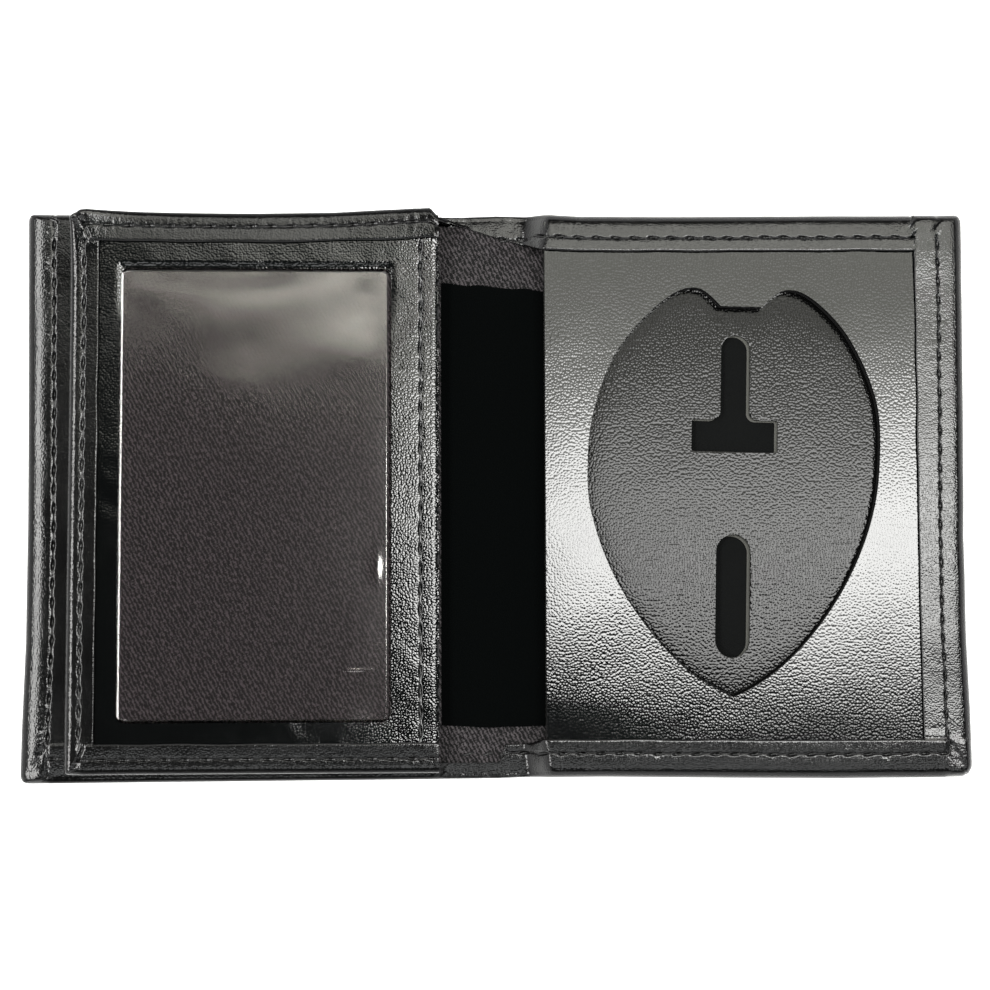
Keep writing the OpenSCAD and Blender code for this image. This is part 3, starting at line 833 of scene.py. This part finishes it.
def t_slot_outline():
    """An upturned T with a round stem end, for the badge's upper pin."""
    stem, length, bar_w, bar_h, fillet = 5.6, 22.6, 16.6, 6.2, 1.6
    bar_top = -length + bar_h
    half = np.vstack([
        [[bar_w / 2 - 0.5, -length]], arc((bar_w / 2 - 0.5, -length + 0.5), 0.5, -90, 0, 4),
        arc((bar_w / 2 - 0.3, bar_top - 0.3), 0.3, 0, 90, 4),
        arc((stem / 2 + fillet, bar_top + fillet), fillet, -90, -180, 9),
        arc((0, -stem / 2), stem / 2, 0, 88, 14),
    ])
    left = half[::-1] * np.array([-1, 1])
    return on_shield(np.vstack([half, left]) + np.array([0, SHIELD_H / 2 - T_SLOT_DROP]))


def oblong_outline():
    """A slot with round ends, for the badge's lower pin."""
    width, length = 6.6, 23.4
    r = width / 2
    outline = np.vstack([arc((0, -length + r), r, 180, 360, 21), arc((0, -r), r, 0, 180, 21)])
    return on_shield(outline + np.array([0, SHIELD_H / 2 - OBLONG_DROP]))


def panel_swell(x, y):
    """The slight unevenness of leather glued over board."""
    return 0.012 * ripple_over(x, y, 22, 61) + 0.0025 * ripple_over(x, y, 7, 62)


def face_height(x, y):
    """The panel's face dips at its lower corner next to the spine."""
    return panel_swell(x, y) - 0.019 * np.maximum(-39 - y, 0) * (1 - smooth(10, 32, x))


badge_face = layer("badge_panel_leather", panel_low, panel_high, 1.4, face_height)
cut_through(badge_face, shield_outline())
finish_piece(badge_face, pebbled, "grained_leather", "right_cover", "badge_panel_face")

# How far the padded seat pushes up under the board, and the thickness of its raw underside
SEAT_RISE = 0.4
SEAT_SPLIT = 0.38
BARE_STEP = 20
badge_core = layer("badge_core_board", core_low + [0, 0, SEAT_RISE], core_high, BARE_STEP)
cut_through(badge_core, shield_outline())
finish_piece(badge_core, black_board, "stiffening_card", "right_cover", "badge_panel_core")


def depth_in_shield(x, y):
    """About how far places lie inside the edge of the shield cut-out."""
    edge_x, edge_y = (shield_outline() - SHIELD_PLACE).T
    x, y = x - SHIELD_PLACE[0], y - SHIELD_PLACE[1]
    reach = np.interp(np.arctan2(y, x), np.arctan2(edge_y, edge_x), np.hypot(edge_x, edge_y),
                      period=2 * math.pi)
    return reach - np.hypot(x, y)


def seat_height(x, y):
    """The seat is padded: it stands up into the recess, more at its foot, and sinks at its rim.

    Outside the cut-out it lies flat under the core board."""
    depth = depth_in_shield(x, y)
    padded = (panel_swell(x, y) - 0.005 * y + 8e-5 * np.clip(30 - y, 0, 75) ** 2
              - 0.1 * np.exp(-np.maximum(depth, -1) / 1.5))
    return SEAT_RISE + padded * smooth(-1.5, 0, depth)


badge_seat = layer("badge_seat_top", seat_low + [0, 0, SEAT_SPLIT - SEAT_RISE], seat_high, 0.6,
                   seat_height)
cut_through(badge_seat, t_slot_outline())
cut_through(badge_seat, oblong_outline(), 0.28)
finish_piece(badge_seat, dull_pebbled, "grained_leather", "right_cover", "badge_seat_leather")

# The underside was cut a little aslant, so its raw edge shows beside the slots
LAYER_SHIFT = np.array([-0.5, -0.25])
seat_backing = layer("badge_seat_backing", seat_low, [*seat_high[:2], seat_low[2] + SEAT_SPLIT],
                     BARE_STEP)
cut_through(seat_backing, t_slot_outline() + LAYER_SHIFT)
cut_through(seat_backing, oblong_outline() + LAYER_SHIFT, 0.05)
finish_piece(seat_backing, raw_edge, "grained_leather", "right_cover", "badge_seat_leather")


def nap_height(x, y):
    """The gentle unevenness of pressed felt."""
    return 0.03 * ripple_over(x, y, 6, 71)


badge_felt = layer("badge_felt", felt_low, felt_high, 1.5, nap_height)
finish_piece(badge_felt, felt, "felt", "right_cover", "badge_backing_felt")


def spine_puff(x, y):
    """How far the lining stands off the spine between the covers."""
    puff = smooth(-14, -9, x) * (1 - smooth(5, 8, x))
    return puff * (0.12 * ripple_over(x, y, 9, 81) + 0.03 * ripple_over(x, y, 3, 82))


def lining_sheet(name, x0, x1, body, *nodes):
    """Half of the lining, from the middle of the spine to the far edge of a cover."""
    low, high = [x0, *lining_low[1:]], [x1, *lining_high[1:]]
    sheet = layer(name, low, high, 0.8, spine_puff)
    finish_piece(sheet, drill, "twill_lining", body, *nodes)


lining_sheet("left_twill_lining", -lining_high[0], 0, to_left, "left_cover_lining", "spine_lining")
lining_sheet("right_twill_lining", 0, lining_high[0], to_right, "right_cover_lining",
             "spine_lining")


STRIP_T = 0.3


def strip_sheet(name, x0, x1, rests_on, body, *nodes):
    """Half of the smooth strip, with its upper end cut a little aslant."""
    xs = spaced(x0, x1, 0.5)
    share = spaced(0, 1, 0.012)
    piece = new_grid(name, len(xs), len(share))
    x, t = (a.ravel() for a in np.meshgrid(xs, share))
    top = strip_high[1] - 0.9 - 0.075 * x + 0.12 * ripple_along(x, 6, 91)
    foot = strip_low[1] + 0.0035 * x * x + 0.1 * ripple_along(x, 7, 92)
    y = foot + (top - foot) * t
    edge = bell(np.minimum(y - foot, top - y), 0.6)
    waves = 0.1 * np.cos(x / 6) + 0.03 * ripple_over(x, y, 12, 93)
    set_points(piece, np.stack([x, y, strip_high[2] + waves - 0.3 * edge], -1))
    thicken(piece, STRIP_T)
    finish_piece(piece, velvet, "spine_strip_fabric", body, *nodes)


strip_middle = (strip_left_x + strip_right_x) / 2
strip_sheet("left_spine_strip", strip_left_x, strip_middle, "left_twill_lining", to_left,
            "left_strip_end", "spine_strip")
strip_sheet("right_spine_strip", strip_middle, strip_right_x, "right_twill_lining", to_right,
            "right_strip_end", "spine_strip")


def pocket_height(x, y):
    """The pocket lies loosely on the lining."""
    return 0.03 * ripple_over(x, y, 14, 95) - 0.02


left_pocket = layer("left_pocket_leather", pocket_low, pocket_high, 1.5, pocket_height)
finish_piece(left_pocket, nappa, "shell_leather", "left_cover", "left_pocket_panel")


# The flip-out leaf

def leaf_shape(points):
    """Curls up the leaf's two upper corners, and shifts its upper end out and the corners in."""
    from_left = points[:, 0] - bind_low[0]
    from_open = bind_high[0] - points[:, 0]
    from_top = bind_high[1] - points[:, 1]
    shaped = points.copy()
    shaped[:, 2] += (2.6 * fade(from_left, 9) * fade(from_top, 5.5)
                     + 1.1 * fade(from_open, 12) * fade(from_top, 5.5))
    shaped[:, 1] += 0.55 * fade(from_left, 14) * fade(from_top, 12)
    cut = 1.3 * smooth(2.6, 0, from_left) + 1.6 * smooth(1.8, 0, from_open)
    shaped[:, 1] -= cut * fade(from_top, 3)
    return shaped


def leaf_thick(x):
    return LEAF_T + 0 * x


def leaf_flange(x, side):
    """How wide the leaf's upper and lower edges are turned in."""
    return LEAF_FLANGE + 0.05 * ripple_along(x, 20, 51 + side) * smooth(0, 12, LEAF_W - x)


def drawn_on_leaf(points):
    """Puts a hide drawn from its open side on the leaf's place, with the leaf's curl."""
    return leaf_shape(drawn_left(points) + np.array([LEAF_OPEN_X, LEAF_Y, bind_low[2]]))


LEAF_BOWS = (([0, 10, 20, 35, 70], [1.5, 1.1, 0.6, 0.35, 0.3]), ([0, 70], [0, 0]),
             ([-54, 54], [0, 0]))
leaf_edge = TurnedEdge("leaf_binding_hide", LEAF_W, LEAF_HALF_Y, leaf_thick, leaf_flange,
                       LEAF_FLANGE, (LEAF_SEAM, LEAF_SEAM), (9.15, 9.5), ("end", "end"),
                       (1.1, 1.5), (0.28, 0.1), LEAF_PITCH, LEAF_BOWS)
leaf_hide = leaf_edge.make(drawn_on_leaf, (1.0, 1.0), leaf_edge.seam_relief(0.12, 0.3, 300), 9.0,
                           False)
finish_piece(leaf_hide, nappa, "shell_leather", "leaf", "leaf_binding_leather")


def window_outline():
    """The leaf's window, a rectangle with rounded corners."""
    x0, x1 = WINDOW_X
    y0, y1 = WINDOW_Y
    r = WINDOW_R
    return np.vstack([arc((x1 - r, y1 - r), r, 0, 90, 8), arc((x0 + r, y1 - r), r, 90, 180, 8),
                      arc((x0 + r, y0 + r), r, 180, 270, 8), arc((x1 - r, y0 + r), r, 270, 360, 8)])


def frame_height(x, y):
    """The frame is stitched at its open edge, folded down there, and thinner over the window."""
    off = x - HEM_SEAM_X - 0.05 * ripple_along(y, 17, 55)
    inside = smooth(-1, 0, bind_high[1] - LEAF_FLANGE - y)
    inside = inside * smooth(-1, 0, y - bind_low[1] - LEAF_FLANGE)
    sag = 0.06 * np.exp(-np.abs(off) / 0.4)
    groove = inside * (stitched_groove(off, y, LEAF_PITCH, HOLE_DEPTH) - sag)
    fold = -0.45 * smooth(0.55, 0, LEAF_OPEN_X - x) - 0.017 * np.maximum(x - WINDOW_X[1] - 0.5, 0)
    lip = -0.27 * (1 - smooth(0, 1.5, y - WINDOW_Y[1])) * smooth(-6, -1, y - WINDOW_Y[1] + 5)
    lip *= smooth(-0.6, 0.6, x - WINDOW_X[0]) * smooth(-0.6, 0.6, WINDOW_X[1] - x)
    return (0.02 * ripple_over(x, y, 16, 56) + 0.008 * ripple_over(x, y, 5, 57) + groove + fold
            + lip)


leaf_frame = layer("leaf_window_frame", leaf_frame_low, leaf_frame_high, 0.6, frame_height,
                   (HEM_SEAM_X,), (WINDOW_Y[1] + 0.8,))
cut_through(leaf_frame, window_outline(), 0.35)
set_points(leaf_frame, leaf_shape(get_points(leaf_frame)))
finish_piece(leaf_frame, deep_pebbled, "grained_leather", "leaf", "leaf_front_frame")


def ramp(low, high, value):
    """0 below low, 1 above high and a straight slope between them."""
    return np.clip((value - low) / (high - low), 0, 1)


DENT_X, SCRATCH_Y = -22.9, -33.3


def vinyl_height(x, y):
    """Vinyl slopes down under the frame all round and is a little wavy in between."""
    from_left, from_right = x - WINDOW_X[0], WINDOW_X[1] - x
    from_foot, from_top = y - WINDOW_Y[0], WINDOW_Y[1] - y
    aside = np.maximum(WINDOW_R - np.minimum(from_left, from_right), 0.001)
    along = np.maximum(WINDOW_R - np.minimum(from_foot, from_top), 0.001)
    inset = WINDOW_R - np.hypot(aside, along)
    slope_side = np.where(from_left < from_right, 0.55, 0.9)
    slope_end = np.where(from_foot < from_top, 0.5, 0.6)
    width = (slope_side * aside + slope_end * along) / (aside + along)
    rim = np.where((from_left < from_right) & (aside > along), 0.7 + 0.3 * ramp(0, width, inset),
                   ramp(0, width, inset))
    rim = np.where(inset > width, 1, rim) * (inset > -0.3)
    calm = smooth(0, 6, from_left) * smooth(0, 6, from_right) * smooth(0, 5, from_top)
    wavy = smooth(14, 36, y) * 0.035 * ripple_over(x, y, 24, 65, (1.5, 1))
    dent = 0.08 * bell(x - DENT_X, 0.8) * bell(y + 14, 2.2)
    scratch = 0.07 * bell(y - SCRATCH_Y, 0.35) * bell(x + 27, 2.6)
    bulge = 0.12 * bell(x + 28, 4) * bell(y + 44, 3.5) * calm
    return (0.45 * rim + (dent + scratch + bulge)
            + calm * (wavy + 0.012 * ripple_over(x, y, 30, 67)))


def leaf_layer(name, corners, material, slot, node, step, height=None,
               fine=((), ())):
    """One of the leaf's flat layers, curled with the leaf."""
    piece = layer(name, *corners, step, height, *fine)
    set_points(piece, leaf_shape(get_points(piece)))
    finish_piece(piece, material, slot, "leaf", node)


leaf_layer("leaf_front_vinyl", node_box("leaf_front_window"), vinyl, "clear_vinyl",
           "leaf_front_window", 1.0, vinyl_height,
           fine=(WINDOW_X + (DENT_X + 0.3,), WINDOW_Y + (SCRATCH_Y,)))
leaf_layer("leaf_twill_divider", node_box("leaf_divider"), drill, "twill_lining", "leaf_divider",
           1.2, None)
leaf_layer("leaf_back_vinyl", node_box("leaf_back_window"), vinyl, "clear_vinyl",
           "leaf_back_window", 1.2)


# The folded strip that the leaf swings on

def hinge_strip():
    """A strip folded once, whose lower half is glued to the cover and upper half to the leaf."""
    inner_x, fold_x = hinge_low[0], hinge_high[0]
    middle = (hinge_high[2] + hinge_low[2]) / 2
    lie = (hinge_high[2] - hinge_low[2]) / 2 - 0.16
    run = spaced(inner_x, fold_x - lie, 0.6)
    turn = arc((fold_x - lie, middle), lie, -90, 90, 9)[1:-1]
    path = np.vstack([np.column_stack([run, 0 * run + middle - lie]), turn,
                      np.column_stack([run[::-1], 0 * run + middle + lie])])
    ys = spaced(hinge_low[1], hinge_high[1], 1.0)
    piece = new_grid("leaf_hinge_twill", len(path), len(ys))
    x = np.tile(path[:, 0], len(ys))
    z = np.tile(path[:, 1], len(ys))
    y = np.repeat(ys, len(path))
    set_points(piece, np.stack([x, y, z], -1))
    apply_modifier(piece, "SOLIDIFY", thickness=0.28 * MM, offset=0)
    in_edit_mode(piece, face_outwards)
    fold = ((0, 0, (middle - lie * 0.8) * MM), (0, 0, (middle + lie * 0.8) * MM))
    finish_piece(piece, drill, "twill_lining", ("left_cover", "leaf", *fold), "leaf_hinge_strip")


hinge_strip()


# Stitches

THREAD_R = 0.21
STITCH_LENGTH = 2.5


def first_stitch():
    """One stitch of two-ply thread, bowed over the leather with its ends pulled in."""
    bpy.ops.object.select_all(action="DESELECT")
    bpy.ops.mesh.primitive_cylinder_add(vertices=8, radius=THREAD_R * MM,
                                        depth=STITCH_LENGTH * MM, rotation=(0, math.pi / 2, 0))
    stitch = bpy.context.object
    bpy.ops.object.transform_apply(location=True, rotation=True, scale=True)
    bpy.ops.object.mode_set(mode="EDIT")
    for place in (-1.0, -0.65, -0.3, 0, 0.3, 0.65, 1.0):
        bpy.ops.mesh.select_all(action="SELECT")
        bpy.ops.mesh.bisect(plane_co=(place * MM, 0, 0), plane_no=(1, 0, 0))
    bpy.ops.object.mode_set(mode="OBJECT")
    points = get_points(stitch)
    x, around = points[:, 0], np.arctan2(points[:, 2], points[:, 1])
    ply = 1 + 0.14 * np.cos(2 * (around - x * 2.4))
    points[:, 1] *= ply
    points[:, 2] *= ply
    points[:, 2] -= 0.35 * (np.abs(x) / 1.2) ** 3
    set_points(stitch, points)
    return stitch


def sew(name, seams, body, nodes, pitch=STITCH_PITCH, shape=None, seed=7):
    """Lays copies of one stitch along seams, each a little out of line.

    A seam is its start, its end, its height, whether it lies underneath, and how many degrees
    its stitches slant."""
    rng = np.random.default_rng(seed)
    model = first_stitch()
    base = get_points(model)
    made = []
    for start, end, height, under, slant in seams:
        start, end = np.array(start, float), np.array(end, float)
        run = end - start
        length = np.linalg.norm(run)
        count = max(1, int(round(length / pitch)))
        way = run / length
        across = np.array([-way[1], way[0]])
        for k in range(count):
            middle = start + run * (k + 0.5) / count
            lean = math.radians(slant + rng.normal(0, 2.5))
            c, s = math.cos(lean), math.sin(lean)
            along = base[:, 0] * c - base[:, 1] * s
            aside = base[:, 0] * s + base[:, 1] * c
            flat = middle + along[:, None] * way + aside[:, None] * across + rng.normal(0, 0.04, 2)
            z = height + base[:, 2] * (-1 if under else 1) + rng.normal(0, 0.02)
            points = np.column_stack([flat, z])
            copy = model.copy()
            copy.data = model.data.copy()
            bpy.context.collection.objects.link(copy)
            set_points(copy, shape(points) if shape else points)
            if under:
                copy.data.flip_normals()
            made.append(copy)
    bpy.data.objects.remove(model)
    bpy.ops.object.select_all(action="DESELECT")
    for copy in made:
        copy.select_set(True)
    bpy.context.view_layer.objects.active = made[0]
    bpy.ops.object.join()
    piece = bpy.context.object
    piece.name = piece.data.name = name
    finish_piece(piece, thread, "thread", body, *nodes, angle=70)


# The seams lie sunk in the leather, above and on the outside
SUNK = 0.45
HEM_SUNK = 0.3
side_x = OUT_X - SIDE_SEAM
end_y = HALF_Y - END_SEAM
left_top = LEFT_T - SUNK
right_top = RIGHT_T - SUNK
spine_top = SPINE_T - SUNK
back = 0.27
left_seams = [
    ((-side_x, end_y - 3.5), (-side_x, -end_y + 3.5), left_top, False, 10),
    ((-79, end_y), (-13.5, end_y), left_top, False, 10),
    ((-side_x, -end_y), (-13.5, -end_y), left_top, False, 10),
    ((-7.6, -end_y), (0, -end_y), spine_top, False, 12),
    ((-side_x, end_y), (-side_x, -end_y), back, True, -10),
    ((-side_x, end_y), (0, end_y), back, True, -10),
    ((-side_x, -end_y), (0, -end_y), back, True, -10),
]
sew("left_cover_stitches", left_seams, to_left, ("left_cover_stitching", "spine_stitching"))
right_seams = [
    ((side_x, end_y + 2), (side_x, -end_y + 2.6), right_top, False, -8),
    ((10.5, end_y), (OUT_X - SIDE_FLANGE, end_y), right_top, False, 8),
    ((10.5, -end_y), (side_x - 1.5, -end_y), right_top, False, 14),
    ((0.5, end_y), (6, end_y), spine_top, False, 8),
    ((0, -end_y), (6, -end_y), spine_top, False, 14),
    ((side_x, end_y), (side_x, -end_y), back, True, -10),
    ((0, end_y), (side_x, end_y), back, True, -10),
    ((0, -end_y), (side_x, -end_y), back, True, -10),
]
sew("right_cover_stitches", right_seams, to_right, ("right_cover_stitching", "spine_stitching"),
    seed=8)
leaf_side_x = bind_low[0] + LEAF_SEAM
leaf_top_y, leaf_foot_y = bind_high[1] - LEAF_SEAM, bind_low[1] + LEAF_SEAM
leaf_top = bind_high[2] - SUNK
leaf_seams = [
    ((leaf_side_x, leaf_top_y - 3), (leaf_side_x, leaf_foot_y + 3), leaf_top, False, 10),
    ((leaf_side_x, leaf_top_y), (LEAF_OPEN_X - 0.5, leaf_top_y), leaf_top, False, -8),
    ((leaf_side_x, leaf_foot_y), (LEAF_OPEN_X - 0.5, leaf_foot_y), leaf_top, False, 12),
]
sew("leaf_stitches", leaf_seams, "leaf", ("leaf_stitching",), LEAF_PITCH, leaf_shape, 9)
hem_seams = [((HEM_SEAM_X, bind_high[1] - LEAF_FLANGE), (HEM_SEAM_X, bind_low[1] + LEAF_FLANGE),
              leaf_frame_high[2] - HEM_SUNK, False, 8)]
sew("leaf_hem_stitches", hem_seams, "leaf", ("leaf_hem_stitching",), LEAF_PITCH, leaf_shape, 10)


# The boards inside the covers keep their CAD shape
for node in ("left_cover_board", "right_cover_board"):
    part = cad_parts[node]
    part.data.materials.clear()
    part.data.materials.append(fibre_board)
